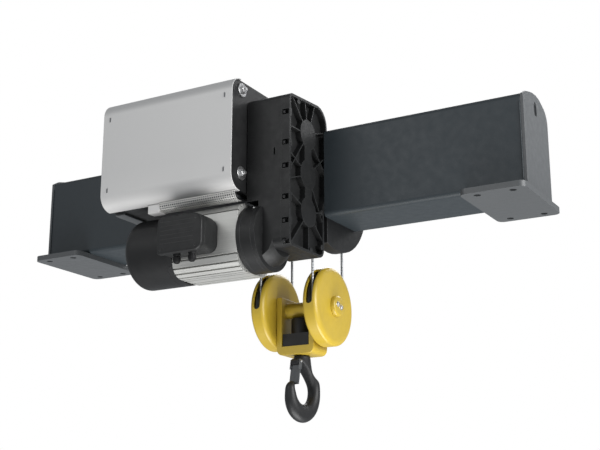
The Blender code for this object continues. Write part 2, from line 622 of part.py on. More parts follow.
def make_carrier():
    """The yellow yoke between the two sheave housings, open front and back."""
    left, right = FALL_X[0] + HOUSING_HALF + GAP, FALL_X[1] - HOUSING_HALF - GAP
    r, half = 0.022, STRAP_HALF
    outline = arc(left + r, YOKE_BOTTOM + r, r, 180, 270) + arc(right - r, YOKE_BOTTOM + r, r, 270, 360)
    outline += [(right, YOKE_TOP), (right - STRAP, YOKE_TOP), (right - STRAP, YOKE_FLOOR),
                (left + STRAP, YOKE_FLOOR), (left + STRAP, YOKE_TOP), (left, YOKE_TOP)]
    carrier = plate("hook_carrier", 'Y', -half, half, [outline], YELLOW)
    spacer = rod("axle_spacer", 'X', (0, SHEAVE_Z), SPACER_R, left + 0.004, right - 0.004)
    combine(carrier, [spacer], 'UNION')
    axle = rod("cut_axle", 'X', (0, SHEAVE_Z), AXLE_R + RUN, -0.1, 0.4)
    shank = rod("cut_carrier_shank", 'Z', (HOOK_X, 0), SHANK_R + 0.0012, -0.5, -0.345)
    combine(carrier, [axle, shank])
    edge = carrier.modifiers.new("edge", 'BEVEL')
    edge.width = 0.0012
    edge.segments = 1
    edge.limit_method = 'ANGLE'
    edge.angle_limit = math.radians(60)

    block = box("bearing_block", (0.050, -0.046, YOKE_FLOOR + GAP), (0.154, 0.046, -0.365), FORGED)
    combine(block, [shank])
    axle = rod("sheave_axle", 'X', (0, SHEAVE_Z), AXLE_R, FALL_X[0] - HOUSING_HALF, FALL_X[1] + HOUSING_HALF, STEEL, 32)
    return [carrier, block, axle]


def hook_rings():
    """Sections down the shank, round the bowl and up to the tip: place, direction, half sizes."""
    stations = [((0, -0.313), 0, 0.0235, 0.0235), ((0, -0.316), 0, SHANK_R, SHANK_R), ((0, -0.4415), 0, SHANK_R, SHANK_R),
                ((0, -0.442), 0, 0.0305, 0.030), ((-0.001, -0.451), 5, 0.034, 0.029),
                ((-0.008, -0.474), 22, 0.037, 0.026), ((-0.028, -0.503), 42, 0.030, 0.025)]
    for angle, half_width, half_thick in ((150, 0.0235, 0.0245), (180, 0.0205, 0.024), (208, 0.0235, 0.0245),
                                          (238, 0.0295, 0.0255), (268, 0.0330, 0.026), (298, 0.0305, 0.0255),
                                          (326, 0.0240, 0.0235), (352, 0.0180, 0.020), (14, 0.0135, 0.016),
                                          (26, 0.0085, 0.010)):
        t = math.radians(angle)
        reach = BOWL_R + half_width + (0.004 if angle in (14, 26) else 0)
        stations.append(((reach * math.cos(t), BOWL_Z + reach * math.sin(t)), None, half_width, half_thick))
    rings = []
    for (u, z), lean, half_width, half_thick in stations:
        across = Vector((math.cos(math.radians(lean)), 0, math.sin(math.radians(lean)))) if lean is not None \
            else -Vector((u, 0, z - BOWL_Z)).normalized()
        ring = []
        for corner in range(14):
            t = 2 * math.pi * corner / 14
            ring.append(Vector((u, 0, z)) + across * (half_width * math.cos(t)) + Vector((0, half_thick * math.sin(t), 0)))
        rings.append(ring)
    return rings


def make_hook():
    turn = (0, 0, HOOK_TURN)
    place = (HOOK_X, 0, 0)
    hook = loft("hook", hook_rings(), FORGED, turn, place)
    u, z = LATCH_PIVOT
    across = Vector((-math.sin(HOOK_TURN), math.cos(HOOK_TURN), 0))
    along = Vector((math.cos(HOOK_TURN), math.sin(HOOK_TURN), 0))
    pivot = Vector(place) + along * u + Vector((0, 0, z))

    def cross_rod(name, radius, length, paint=None, sides=16):
        made = rod(name, 'Y', (0, 0), radius, -length / 2, length / 2, paint, sides)
        made.location = pivot
        made.rotation_euler = (math.pi / 2, 0, HOOK_TURN)
        return made

    ear = cross_rod("hook_ear", 0.012, 0.034)
    combine(hook, [ear], 'UNION')
    combine(hook, [cross_rod("cut_latch_pin", 0.0046, 0.08)])
    pin = cross_rod("latch_pin", 0.0040, 0.050, STEEL)

    nut = turned("hook_nut", 'Z', (HOOK_X, 0, 0),
                 [(0.036, -0.308), (0.038, -0.311), (0.038, -0.3644), (SHANK_R + 0.0008, -0.3644),
                  (SHANK_R + 0.0008, -0.308)], FORGED, 24)

    # the latch is a channel: two cheeks beside the ear and a tongue down to the tip
    tip_u, tip_z = 0.0445, -0.545
    lean = math.atan2(tip_u - u, z - tip_z)
    length = math.hypot(tip_u - u, z - tip_z)
    latch_turn = (0, 0, HOOK_TURN)
    frame = Matrix.Translation(pivot) @ Matrix.Rotation(HOOK_TURN, 4, 'Z') @ Matrix.Rotation(-lean, 4, 'Y')

    def latch_box(name, low, high, paint=None):
        made = box(name, low, high, paint)
        made.matrix_world = frame @ Matrix.Translation(made.location)
        return made

    near, far = 0.0185, 0.0215
    latch = latch_box("safety_latch", (-0.0015, -far, -length), (0.0015, far, -0.013), STEEL)
    cheeks = [latch_box("latch_cheek_back", (-0.006, -far, -0.028), (0.008, -near, 0.007)),
              latch_box("latch_cheek_front", (-0.006, near, -0.028), (0.008, far, 0.007))]
    combine(latch, cheeks, 'UNION')
    combine(latch, [cross_rod("cut_latch_eye", 0.0044, 0.08)])
    return [hook, nut, pin], [latch], pivot


# ---------------------------------------------------------------- assembly
frame = empty("frame_origin", (0, 0, 0))
fixed = make_frame() + [make_gear_case()] + make_gearbox() + make_cover_bolts() + make_motor()
fixed += make_terminal_box() + make_panel() + make_resistor() + [make_drum_bearing()] + make_falls() + make_anchors()
attach(fixed, frame)

drum_axis = empty("drum_axis", (DRUM_X0, 0, DRUM_Z))
attach(make_drum(), drum_axis)

block_origin = empty("hook_block_origin", (HOOK_X, 0, SHEAVE_Z))
block_parts = make_carrier()
for side_name, sheave_x in zip(("left", "right"), FALL_X):
    still, spinning = make_sheave_set(side_name, sheave_x)
    block_parts += still
    axis = empty(f"{side_name}_sheave_axis", (sheave_x, 0, SHEAVE_Z))
    attach([spinning], axis)
    attach([axis], block_origin)
attach(block_parts, block_origin)

swivel = empty("hook_swivel_axis", (HOOK_X, 0, -0.35))
hook_parts, latch_parts, latch_pivot = make_hook()
attach(hook_parts, swivel)
latch_axis = empty("latch_axis", latch_pivot)
attach(latch_parts, latch_axis)
attach([latch_axis], swivel)
attach([swivel], block_origin)
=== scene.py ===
"""Looks for the foot-mounted wire rope hoist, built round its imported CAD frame.

Metres, in the CAD's own frame: +X along the beam, -Y towards the motor, +Z up.
"""
import json
import math

import bmesh
import bpy
from mathutils import Matrix, Vector

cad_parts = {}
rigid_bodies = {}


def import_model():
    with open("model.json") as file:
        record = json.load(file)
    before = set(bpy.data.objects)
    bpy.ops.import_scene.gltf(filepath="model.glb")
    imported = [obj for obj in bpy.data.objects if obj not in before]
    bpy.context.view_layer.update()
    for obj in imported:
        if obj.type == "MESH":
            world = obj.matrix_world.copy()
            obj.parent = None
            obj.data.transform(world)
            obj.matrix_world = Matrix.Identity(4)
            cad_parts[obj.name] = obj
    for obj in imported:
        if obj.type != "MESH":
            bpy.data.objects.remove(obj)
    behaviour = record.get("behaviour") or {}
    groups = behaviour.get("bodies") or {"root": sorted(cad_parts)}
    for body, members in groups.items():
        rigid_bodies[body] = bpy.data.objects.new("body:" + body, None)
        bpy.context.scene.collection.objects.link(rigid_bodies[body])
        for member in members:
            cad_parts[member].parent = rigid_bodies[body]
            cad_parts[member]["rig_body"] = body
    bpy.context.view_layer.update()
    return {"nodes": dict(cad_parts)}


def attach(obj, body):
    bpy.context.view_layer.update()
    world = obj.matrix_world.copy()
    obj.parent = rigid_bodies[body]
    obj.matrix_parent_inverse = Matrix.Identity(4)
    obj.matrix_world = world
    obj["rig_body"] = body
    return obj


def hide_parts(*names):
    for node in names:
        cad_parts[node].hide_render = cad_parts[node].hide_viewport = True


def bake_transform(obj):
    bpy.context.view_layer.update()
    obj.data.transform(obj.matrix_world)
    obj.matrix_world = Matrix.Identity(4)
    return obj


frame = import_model()
scene = bpy.context.scene

# ---------------------------------------------------------------- dimensions: shared ones as in the CAD
GAP = 0.0004
BEAM_END, WELD_Z, WELD_Y = 0.9872, (0.040, 0.310), 0.1262
FOOT_WELD_X, FOOT_WELD_Y, FOOT_TOP = (0.800, 0.980), 0.118, 0.0215
LUG_INSET, LUG_R, LUG_X0, LUG_X1 = 0.012, 0.0098, 0.2360, 0.2611
SLOT_X, SLOT_Z = 0.2015, 0.199
BOX_X1, BOX_Y0, BOX_Y1, COVER_Y1 = 0.228, -0.364, -0.1256, -0.100
COVER_BOLT_Z = (0.334, 0.225, 0.142, 0.033, -0.049, -0.119)
MOTOR = (-0.298, -0.084)
BRAKE_X0, MOTOR_X0, MOTOR_X1, FLANGE_X1 = -0.387, -0.182, 0.0817, 0.140
BRAKE_R, BRAKE_CORNER, FLANGE_R = 0.1255, 0.034, 0.117
TERMINAL = (-0.177, -0.141, 0.006, -0.016)          # x0, z0, x1, z1
TERMINAL_CORNERS = (0.012, 0.030, 0.040, 0.018)     # radii from the low left, anticlockwise
TERMINAL_Y0, TERMINAL_SPLIT, TERMINAL_Y1, LID_DROP = -0.502, -0.482, -0.4034, 0.007
GLAND_X, GLAND_Y = (-0.116, -0.054), -0.466
PANEL_X0, PANEL_X1, PANEL_Z0, PANEL_Z1 = -0.460, 0.0935, 0.0625, 0.467
PANEL_FRONT, PANEL_LIP, PANEL_BACK = -0.4645, -0.4075, -0.168
PANEL_BEND, PANEL_INSET, PANEL_SKIN = 0.055, 0.0035, 0.003
PANEL_BOLT_Y, PANEL_BOLT_Z = -0.398, (0.128, 0.430)
GUARD_X0, GUARD_X1 = -0.2280, 0.085
GUARD_FRONT, GUARD_BACK, GUARD_LOW, GUARD_HIGH = -0.4265, -0.384, 0.034, 0.0621
GUARD_BEND, GUARD_WALL = 0.026, 0.0020
HOLE_PITCH, HOLE_R = 0.0086, 0.0031
RESISTOR, RESISTOR_X1, FIN_COUNT, FINNED_LENGTH = (-0.4030, 0.0490), 0.0775, 44, 0.304
ROPE_R, FALL_R, FALL_X = 0.0045, 0.110, (-0.003, 0.207)
DRUM_Z, DRUM_R, DRUM_X0, DRUM_X1 = 0.180, 0.1050, -0.280, 0.2135
DRUM_SHAFT_R, GROOVE_PITCH, GROOVES_END = 0.030, 0.0098, -0.200
WINDINGS, WINDING_TURNS = (("left", -0.196, -0.0095), ("right", 0.014, 0.2005)), 18.5
REAR_FALL_TOP = 0.0396
SHEAVE_R, SHEAVE_HALF = 0.1245, 0.015
SHEAVE_Z, HOUSING_R, HOUSING_HALF, HOUSING_WALL = -0.275, 0.140, 0.030, 0.004
AXLE_R, RUN = 0.020, 0.0006
HOOK_X, SHANK_R, BOWL_Z, BOWL_R = 0.102, 0.025, -0.563, 0.0475
HOOK_TURN = math.radians(261.0)
LATCH_PIVOT = (0.031, -0.464)


# ---------------------------------------------------------------- camera, light and floor
def make_camera():
    data = bpy.data.cameras.new("camera")
    data.lens = 68.9
    data.sensor_width = 36
    camera = bpy.data.objects.new("camera", data)
    camera.location = (2.096, -3.510, -1.087)
    camera.rotation_euler = (math.radians(90 + 15.615), 0, math.radians(29.70))
    scene.collection.objects.link(camera)
    scene.camera = camera


def area_light(name, place, target, size, power, colour=(1, 1, 1)):
    data = bpy.data.lights.new(name, 'AREA')
    data.shape = 'RECTANGLE'
    data.size, data.size_y = size
    data.energy = power
    data.color = colour
    lamp = bpy.data.objects.new(name, data)
    lamp.location = place
    lamp.rotation_euler = (Vector(target) - Vector(place)).to_track_quat('-Z', 'Y').to_euler()
    lamp.visible_camera = False
    scene.collection.objects.link(lamp)


def make_world():
    """White behind the object, softer white on it."""
    world = bpy.data.worlds.new("studio")
    world.use_nodes = True
    tree = world.node_tree
    tree.nodes.clear()
    out = tree.nodes.new("ShaderNodeOutputWorld")
    mix = tree.nodes.new("ShaderNodeMixShader")
    path = tree.nodes.new("ShaderNodeLightPath")
    soft = tree.nodes.new("ShaderNodeBackground")
    plain = tree.nodes.new("ShaderNodeBackground")
    soft.inputs["Color"].default_value = (0.93, 0.96, 1.0, 1)
    soft.inputs["Strength"].default_value = 0.42
    plain.inputs["Strength"].default_value = 1.0
    plain.inputs["Color"].default_value = (1, 1, 1, 1)
    tree.links.new(path.outputs["Is Camera Ray"], mix.inputs[0])
    tree.links.new(soft.outputs[0], mix.inputs[1])
    tree.links.new(plain.outputs[0], mix.inputs[2])
    tree.links.new(mix.outputs[0], out.inputs["Surface"])
    scene.world = world


def make_floor():
    """A floor far below the hook's lowest place and below low cameras."""
    mesh = bpy.data.meshes.new("floor")
    half, low = 90.0, -20.0
    corners = [(-half, -half, low), (half, -half, low), (half, half, low), (-half, half, low)]
    mesh.from_pydata(corners, [], [(0, 1, 2, 3)])
    floor = bpy.data.objects.new("floor", mesh)
    scene.collection.objects.link(floor)
    pale = bpy.data.materials.new("pale_floor")
    pale.use_nodes = True
    pale.node_tree.nodes["Principled BSDF"].inputs["Base Color"].default_value = (0.86, 0.86, 0.86, 1)
    pale.node_tree.nodes["Principled BSDF"].inputs["Roughness"].default_value = 0.8
    mesh.materials.append(pale)


make_camera()
make_world()
make_floor()
area_light("front", (-1.6, -4.2, 1.8), (0, 0, 0), (3.0, 2.4), 40)
area_light("right", (4.2, -0.8, 0.6), (0.2, -0.1, 0.0), (3.0, 2.6), 215)
area_light("under", (1.3, -1.1, -8.2), (0.0, -0.1, 0.0), (10.0, 6.0), 1250)
area_light("back", (-0.5, 3.6, 2.6), (0, 0, 0.1), (4.0, 2.0), 120)
scene.view_settings.view_transform = 'Standard'


# ---------------------------------------------------------------- materials
class Graph:
    """A material's nodes, with the object's own coordinates."""

    def __init__(self, name):
        self.material = bpy.data.materials.new(name)
        self.material.use_nodes = True
        self.tree = self.material.node_tree
        self.shader = self.tree.nodes["Principled BSDF"]
        self.coords = self.add("TexCoord").outputs["Object"]

    def add(self, kind, inputs=(), **settings):
        node = self.tree.nodes.new("ShaderNode" + kind)
        for key, value in settings.items():
            setattr(node, key, value)
        for key, value in dict(inputs).items():
            if isinstance(value, bpy.types.NodeSocket):
                self.tree.links.new(value, node.inputs[key])
            else:
                node.inputs[key].default_value = value
        return node

    def set(self, key, value):
        if isinstance(value, bpy.types.NodeSocket):
            self.tree.links.new(value, self.shader.inputs[key])
        else:
            self.shader.inputs[key].default_value = value

    def stretched(self, scale):
        return self.add("Mapping", {"Vector": self.coords, "Scale": scale}).outputs[0]

    def noise(self, scale, detail=3.0, rough=0.5, vector=None):
        return self.add("TexNoise", {"Vector": vector or self.coords, "Scale": scale, "Detail": detail,
                                     "Roughness": rough}).outputs["Fac"]

    def between(self, value, low, high, start=0.0, end=1.0):
        """The value's low..high mapped to start..end, held at both ends."""
        return self.add("MapRange", {"Value": value, "From Min": low, "From Max": high,
                                     "To Min": start, "To Max": end}).outputs[0]

    def mix(self, share, first, second):
        node = self.add("Mix", data_type='RGBA')
        for socket, value in zip((0, 6, 7), (share, first, second)):
            if isinstance(value, bpy.types.NodeSocket):
                self.tree.links.new(value, node.inputs[socket])
            else:
                node.inputs[socket].default_value = value if socket == 0 else (*value, 1)
        return node.outputs[2]

    def edges(self, radius, gain):
        """1 on sharp outer edges, falling off over the radius."""
        soft = self.add("Bevel", {"Radius": radius}, samples=4).outputs[0]
        hard = self.add("NewGeometry").outputs["Normal"]
        dot = self.add("VectorMath", operation='DOT_PRODUCT')
        self.tree.links.new(soft, dot.inputs[0])
        self.tree.links.new(hard, dot.inputs[1])
        return self.between(dot.outputs["Value"], 1.0, 1.0 - gain)


def times(colour, factor):
    return tuple(min(1.0, part * factor) for part in colour)


def coated(name, colour, roughness, metallic=0.0, mottle=0.10, mottle_scale=5.0, grain=900.0, bump=0.12,
           edge=1.0, edge_share=0.5, spread=0.06, coat=0.0, specular=0.5, dust=None):
    """Paint or coating: cloudy tone, fine grain in gloss and relief, and lighter edges: painted edge
    highlight, partly wear.
    """
    g = Graph(name)
    cloud = g.noise(mottle_scale, 4.0, 0.55)
    tone = g.mix(g.between(cloud, 0.3, 0.7), times(colour, 1 - mottle), times(colour, 1 + mottle))
    if dust:
        veil = g.noise(17.0, 6.0, 0.7)
        tone = g.mix(g.between(veil, 0.52, 0.78, 0.0, dust[1]), tone, dust[0])
    # lighter outer edges: painted edge highlight where rims catch light, partly real wear
    if edge > 1.0:
        edge_highlight_and_wear = g.add("Math", {0: g.edges(0.0022, 0.20), 1: edge_share}, operation='MULTIPLY').outputs[0]
        tone = g.mix(edge_highlight_and_wear, tone, times(colour, edge))
    g.set("Base Color", tone)
    fine = g.noise(grain, 2.0)
    broad = g.noise(38.0, 4.0)
    change = g.between(broad, 0.3, 0.7, -spread, spread)
    g.set("Roughness", g.add("Math", {0: change, 1: roughness}, operation='ADD').outputs[0])
    g.set("Metallic", metallic)
    g.set("Specular IOR Level", specular)
    g.set("Coat Weight", coat)
    g.set("Coat Roughness", 0.18)
    relief = g.add("Bump", {"Strength": bump, "Distance": 0.0006, "Height": fine})
    g.set("Normal", relief.outputs[0])
    return g


def brushed(name, colour, roughness, streaks, metallic=1.0, depth=0.10, grime=0.25):
    """Bare metal with fine drawn lines; streaks are the lines' scale along X, Y and Z."""
    g = Graph(name)
    lines = g.noise(1.0, 3.0, 0.6, g.stretched(streaks))
    cloud = g.noise(11.0, 5.0, 0.6)
    tone = g.mix(g.between(lines, 0.3, 0.7), times(colour, 0.86), times(colour, 1.08))
    tone = g.mix(g.between(cloud, 0.48, 0.8, 0.0, grime), tone, times(colour, 0.45))
    g.set("Base Color", tone)
    g.set("Metallic", metallic)
    g.set("Roughness", g.between(lines, 0.25, 0.75, roughness - 0.07, roughness + 0.09))
    g.set("Normal", g.add("Bump", {"Strength": depth, "Distance": 0.0004, "Height": lines}).outputs[0])
    return g


def make_panel_paint():
    """Silver powder coat, a little lighter towards its lower bend: painted floor-bounce light."""
    g = Graph("panel_silver")
    # the lighter low colour is painted light bounced up from the floor onto the lower bend
    low, high = (0.520, 0.515, 0.507), (0.475, 0.473, 0.467)
    height = g.add("SeparateXYZ", {0: g.coords}).outputs["Z"]
    tone = g.mix(g.between(height, PANEL_Z0, PANEL_Z0 + 0.13), low, high)
    cloud = g.noise(3.1, 2.0)
    tone = g.mix(g.between(cloud, 0.35, 0.65, 0.0, 0.25), tone, times(high, 0.95))
    flake = g.noise(2600.0, 1.0)
    tone = g.mix(g.between(flake, 0.56, 0.74, 0.0, 0.22), tone, (0.72, 0.72, 0.71))
    g.set("Base Color", tone)
    g.set("Metallic", 0.25)
    g.set("Roughness", g.between(flake, 0.3, 0.7, 0.40, 0.50))
    g.set("Normal", g.add("Bump", {"Strength": 0.10, "Distance": 0.0003, "Height": flake}).outputs[0])
    return g


def make_rope_metal():
    g = Graph("wire_rope")
    wires = g.noise(1.0, 2.0, 0.5, g.stretched((900, 900, 260)))
    grease = g.noise(45.0, 4.0)
    tone = g.mix(g.between(wires, 0.3, 0.7), (0.20, 0.21, 0.22), (0.50, 0.51, 0.52))
    tone = g.mix(g.between(grease, 0.5, 0.8, 0.0, 0.5), tone, (0.10, 0.09, 0.07))
    g.set("Base Color", tone)
    g.set("Metallic", 0.85)
    g.set("Roughness", g.between(grease, 0.3, 0.8, 0.32, 0.55))
    g.set("Normal", g.add("Bump", {"Strength": 0.4, "Distance": 0.0004, "Height": wires}).outputs[0])
    return g


# edge and edge_share lighten outer edges: painted edge highlight (rim light on the black parts), partly wear
GRAPHS = {
    "beam_paint": coated("beam_paint", (0.024, 0.0305, 0.0350), 0.44, mottle=0.02, mottle_scale=2.2,
                         grain=700, bump=0.10, edge=2.6, edge_share=0.35, specular=0.34),
    "grey_paint": coated("grey_paint", (0.064, 0.068, 0.071), 0.46, mottle=0.03, grain=700, bump=0.10,
                         edge=1.4, edge_share=0.3),
    "black_cast": coated("black_cast", (0.0070, 0.0073, 0.0075), 0.50, mottle=0.14, mottle_scale=8, grain=420,
                         bump=0.42, edge=9.0, edge_share=0.45, specular=0.36),
    "black_cover": coated("black_cover", (0.0085, 0.0087, 0.0090), 0.46, mottle=0.08, mottle_scale=4,
                          grain=1100, bump=0.10, edge=4.0, edge_share=0.3, specular=0.32),
    "gland_plastic": coated("gland_plastic", (0.006, 0.006, 0.0065), 0.50, mottle=0.1, grain=1500, bump=0.06,
                            edge=3.5, edge_share=0.3, specular=0.2),
    "motor_aluminium": brushed("motor_aluminium", (0.47, 0.47, 0.45), 0.46, (6, 620, 620), metallic=0.55,
                               grime=0.12),
    "guard_aluminium": brushed("guard_aluminium", (0.60, 0.595, 0.57), 0.42, (9, 500, 500), metallic=0.6,
                               grime=0.15),
    "panel_silver": make_panel_paint(),
    "bright_steel": brushed("bright_steel", (0.66, 0.66, 0.66), 0.30, (240, 240, 240), grime=0.2),
    "drum_steel": brushed("drum_steel", (0.33, 0.34, 0.35), 0.38, (700, 30, 30), grime=0.45),
    "wire_rope": make_rope_metal(),
    "latch_steel": brushed("latch_steel", (0.12, 0.125, 0.13), 0.42, (300, 300, 60), metallic=0.8, grime=0.3),
    "hook_yellow": coated("hook_yellow", (0.46, 0.322, 0.029), 0.38, mottle=0.07, mottle_scale=9, grain=520,
                          bump=0.16, edge=1.35, edge_share=0.4, spread=0.08, coat=0.12,
                          dust=((0.36, 0.24, 0.03), 0.35)),
    "forged_black": coated("forged_black", (0.012, 0.0122, 0.0128), 0.46, metallic=0.10, mottle=0.2,
                           mottle_scale=14, grain=180, bump=0.30, edge=4.0, edge_share=0.35, specular=0.4),
}


# ---------------------------------------------------------------- pieces
def piece(name, mesh, body, slot, replaces=(), smooth=32):
    """An object that rides on a body, with its slot's material, in place of the nodes it replaces."""
    made = bpy.data.objects.new(name, mesh)
    scene.collection.objects.link(made)
    mesh.materials.clear()
    mesh.materials.append(GRAPHS[slot].material)
    mesh.shade_smooth()
    mesh.set_sharp_from_angle(angle=math.radians(smooth))
    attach(made, body)
    if replaces:
        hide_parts(*([replaces] if isinstance(replaces, str) else replaces))
    return made


def soften(made, width, segments=2, angle=30):
    edge = made.modifiers.new("edges", 'BEVEL')
    edge.width = width
    edge.segments = segments
    edge.limit_method = 'ANGLE'
    edge.angle_limit = math.radians(angle)
    level = made.modifiers.new("level", 'WEIGHTED_NORMAL')
    level.keep_sharp = True
    level.weight = 100
    return made


def as_mesh(name, work):
    bmesh.ops.recalc_face_normals(work, faces=work.faces)
    mesh = bpy.data.meshes.new(name)
    work.to_mesh(mesh)
    work.free()
    return mesh


def skin(node, slot, width=0.0012, segments=2, cutters=(), smooth=32):
    """A CAD node's own shape with softened edges, standing for the node."""
    source = frame["nodes"][node]
    work = bmesh.new()
    work.from_mesh(source.data)
    bmesh.ops.remove_doubles(work, verts=work.verts, dist=0.00002)
    bmesh.ops.dissolve_limit(work, angle_limit=math.radians(0.8), verts=work.verts, edges=work.edges)
    made = piece("look_" + node, as_mesh("look_" + node, work), source["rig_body"], slot, node, smooth)
    if cutters:
        cut(made, cutters)
    if width:
        soften(made, width, segments)
    return made


def cut(made, meshes, operation='DIFFERENCE'):
    """Booleans, applied, with no cutter left."""
    tools = []
    for mesh in meshes:
        tool = bpy.data.objects.new("tool", mesh)
        scene.collection.objects.link(tool)
        step = made.modifiers.new("cut", 'BOOLEAN')
        step.operation = operation
        step.object = tool
        tools.append(tool)
    bpy.context.view_layer.update()
    result = bpy.data.meshes.new_from_object(made.evaluated_get(bpy.context.evaluated_depsgraph_get()))
    made.modifiers.clear()
    made.data = result
    for tool in tools:
        bpy.data.objects.remove(tool)
    return made


ORDER = {'X': lambda u, v, h: (h, u, v), 'Y': lambda u, v, h: (u, h, v), 'Z': lambda u, v, h: (u, v, h)}


def arc(cx, cy, radius, start, end, steps=5):
    turns = [math.radians(start + (end - start) * i / steps) for i in range(steps + 1)]
    return [(cx + radius * math.cos(t), cy + radius * math.sin(t)) for t in turns]


def rounded(x0, y0, x1, y1, radii, steps=8):
    corners = ((x0, y0, 1, 1, 180), (x1, y0, -1, 1, 270), (x1, y1, -1, -1, 0), (x0, y1, 1, -1, 90))
    points = []
    for (x, y, sx, sy, start), radius in zip(corners, radii):
        points += arc(x + sx * radius, y + sy * radius, radius, start, start + 90, steps)
    return points


def stadium(u, v, half_width, half_height, steps=8):
    straight = half_height - half_width
    return arc(u, v + straight, half_width, 0, 180, steps) + arc(u, v - straight, half_width, 180, 360, steps)


def straight(start, end, steps):
    return [start.lerp(end, i / steps) for i in range(steps + 1)]


def loft(work, rows):
    """Faces between rings of equal length, with both ends closed."""
    count = len(rows[0])
    for row, following in zip(rows, rows[1:]):
        for i in range(count):
            j = (i + 1) % count
            work.faces.new((row[i], row[j], following[j], following[i]))
    work.faces.new(rows[0])
    work.faces.new(rows[-1])
    return work


def stack(axis, layers, work=None):
    """A closed mesh through outlines of equal length: (outline, height) one after another."""
    work = work or bmesh.new()
    place = ORDER[axis]
    rows = [[work.verts.new(place(u, v, height)) for u, v in outline] for outline, height in layers]
    return loft(work, rows)


def lathe_work(axis, centre, profile, steps=64, work=None, ripple=None):
    """Turned shape: (radius, height) pairs, or (radius, height, 6) for a six-sided step.

    A ripple is (count round the axis, depth, lowest height, highest height).
    """
    work = work or bmesh.new()
    place = ORDER[axis]
    rows = []
    for entry in profile:
        radius, height = entry[:2]
        if radius < 1e-6:
            rows.append([work.verts.new(place(*centre, height))])
            continue
        row = []
        for i in range(steps):
            t = 2 * math.pi * i / steps
            r = radius
            if len(entry) > 2:
                r = radius / math.cos((t % (math.pi / 3)) - math.pi / 6)
            if ripple:
                count, depth, low, high = ripple
                if low <= height <= high:
                    r += depth * math.cos(count * t)
            u, v = centre[0] + r * math.cos(t), centre[1] + r * math.sin(t)
            row.append(work.verts.new(place(u, v, height)))
        rows.append(row)
    pairs = list(zip(rows, rows[1:]))
    if len(rows[0]) > 1 and len(rows[-1]) > 1:
        pairs.append((rows[-1], rows[0]))
    for first, second in pairs:
        for i in range(steps):
            j = (i + 1) % steps
            quad = [ring[k % len(ring)] for ring, k in ((first, i), (first, j), (second, j), (second, i))]
            corners = []
            for corner in quad:
                if corner not in corners:
                    corners.append(corner)
            if len(corners) > 2:
                work.faces.new(corners)
    return work


def lathe(name, axis, centre, profile, body, slot, replaces=(), steps=64, smooth=32, ripple=None):
    mesh = as_mesh(name, lathe_work(axis, centre, profile, steps, None, ripple))
    return piece(name, mesh, body, slot, replaces, smooth)


def strand_rings(points, radius, lay, sides=24, lobes=6, depth=0.13):
    """Rings of a stranded rope's outline that turn once in each lay length along the path."""
    rings, travelled, up = [], 0.0, None
    for i, point in enumerate(points):
        before, after = points[max(i - 1, 0)], points[min(i + 1, len(points) - 1)]
        ahead = (after - before).normalized()
        if up is None:
            up = ahead.orthogonal().normalized()
        up = (up - ahead * up.dot(ahead)).normalized()
        side = ahead.cross(up)
        if i:
            travelled += (point - points[i - 1]).length
        twist = 2 * math.pi * travelled / lay
        ring = []
        for k in range(sides):
            t = 2 * math.pi * k / sides
            r = radius * (1 - depth * (1 - abs(math.cos(lobes * t / 2))))
            ring.append(point + up * (r * math.cos(t + twist)) + side * (r * math.sin(t + twist)))
        rings.append(ring)
    return rings


def rope_mesh(name, points, radius=ROPE_R, lay=0.062, sides=24):
    work = bmesh.new()
    rings = strand_rings(points, radius, lay, sides)
    return as_mesh(name, loft(work, [[work.verts.new(point) for point in ring] for ring in rings]))


def hex_bolt(work, axis, centre, start, size, out=1, washer=True):
    """A washer and a hexagon head standing on a face; size is the head's half width over flats."""
    def h(share):
        return start + out * share * size

    low = 0.22 if washer else 0.0
    if washer:
        lathe_work(axis, centre, [(0, h(0)), (size * 1.52, h(0)), (size * 1.60, h(0.05)),
                                  (size * 1.60, h(0.17)), (size * 1.52, h(0.22)), (0, h(0.22))], 32, work)
    lathe_work(axis, centre, [(0, h(low)), (size, h(low), 6), (size, h(low + 0.62), 6),
                              (size * 0.97, h(low + 0.74)), (size * 0.90, h(low + 0.80)),
                              (0, h(low + 0.80))], 36, work)


def socket_screw(work, axis, centre, start, radius, height, out=1):
    """A cylinder head with a hexagon socket."""
    top = start + out * height
    profile = [(0, start), (radius, start), (radius, top - out * radius * 0.12), (radius * 0.9, top),
               (radius * 0.5, top, 6), (radius * 0.46, top - out * radius * 0.1, 6),
               (radius * 0.46, top - out * height * 0.6, 6), (0, top - out * height * 0.65)]
    lathe_work(axis, centre, profile, 24, work)


# ---------------------------------------------------------------- beam, feet and gears
def make_beam():
    for node in ("left_beam", "right_beam"):
        skin(node, "beam_paint", 0.0010)
    for node in ("left_end_plate", "right_end_plate", "left_foot", "right_foot"):
        skin(node, "grey_paint", 0.0016, 3)
    for name, side in (("left", -1), ("right", 1)):
        weld = bmesh.new()
        for y in (-WELD_Y, WELD_Y):
            ends = [Vector((side * BEAM_END, y, z)) for z in WELD_Z]
            bead(weld, straight(*ends, 60), 0.0022)
        for y in (-FOOT_WELD_Y, FOOT_WELD_Y):
            ends = [Vector((side * x, y, FOOT_TOP)) for x in FOOT_WELD_X]
            bead(weld, straight(*ends, 50), 0.0030)
        piece(name + "_weld_beads", as_mesh("weld", weld), "frame", "beam_paint", smooth=60)


def bead(work, path, radius, sides=10):
    """A weld bead: a rod with small ripples along its length."""
    rows = []
    for i, point in enumerate(path):
        ahead = (path[min(i + 1, len(path) - 1)] - path[max(i - 1, 0)]).normalized()
        up = ahead.orthogonal().normalized()
        side = ahead.cross(up)
        r = radius * (0.9 + 0.12 * math.cos(i * 1.9)) * (0.4 if i in (0, len(path) - 1) else 1.0)
        rows.append([work.verts.new(point + up * (r * math.cos(t)) + side * (r * math.sin(t)))
                     for t in [2 * math.pi * k / sides for k in range(sides)]])
    loft(work, rows)


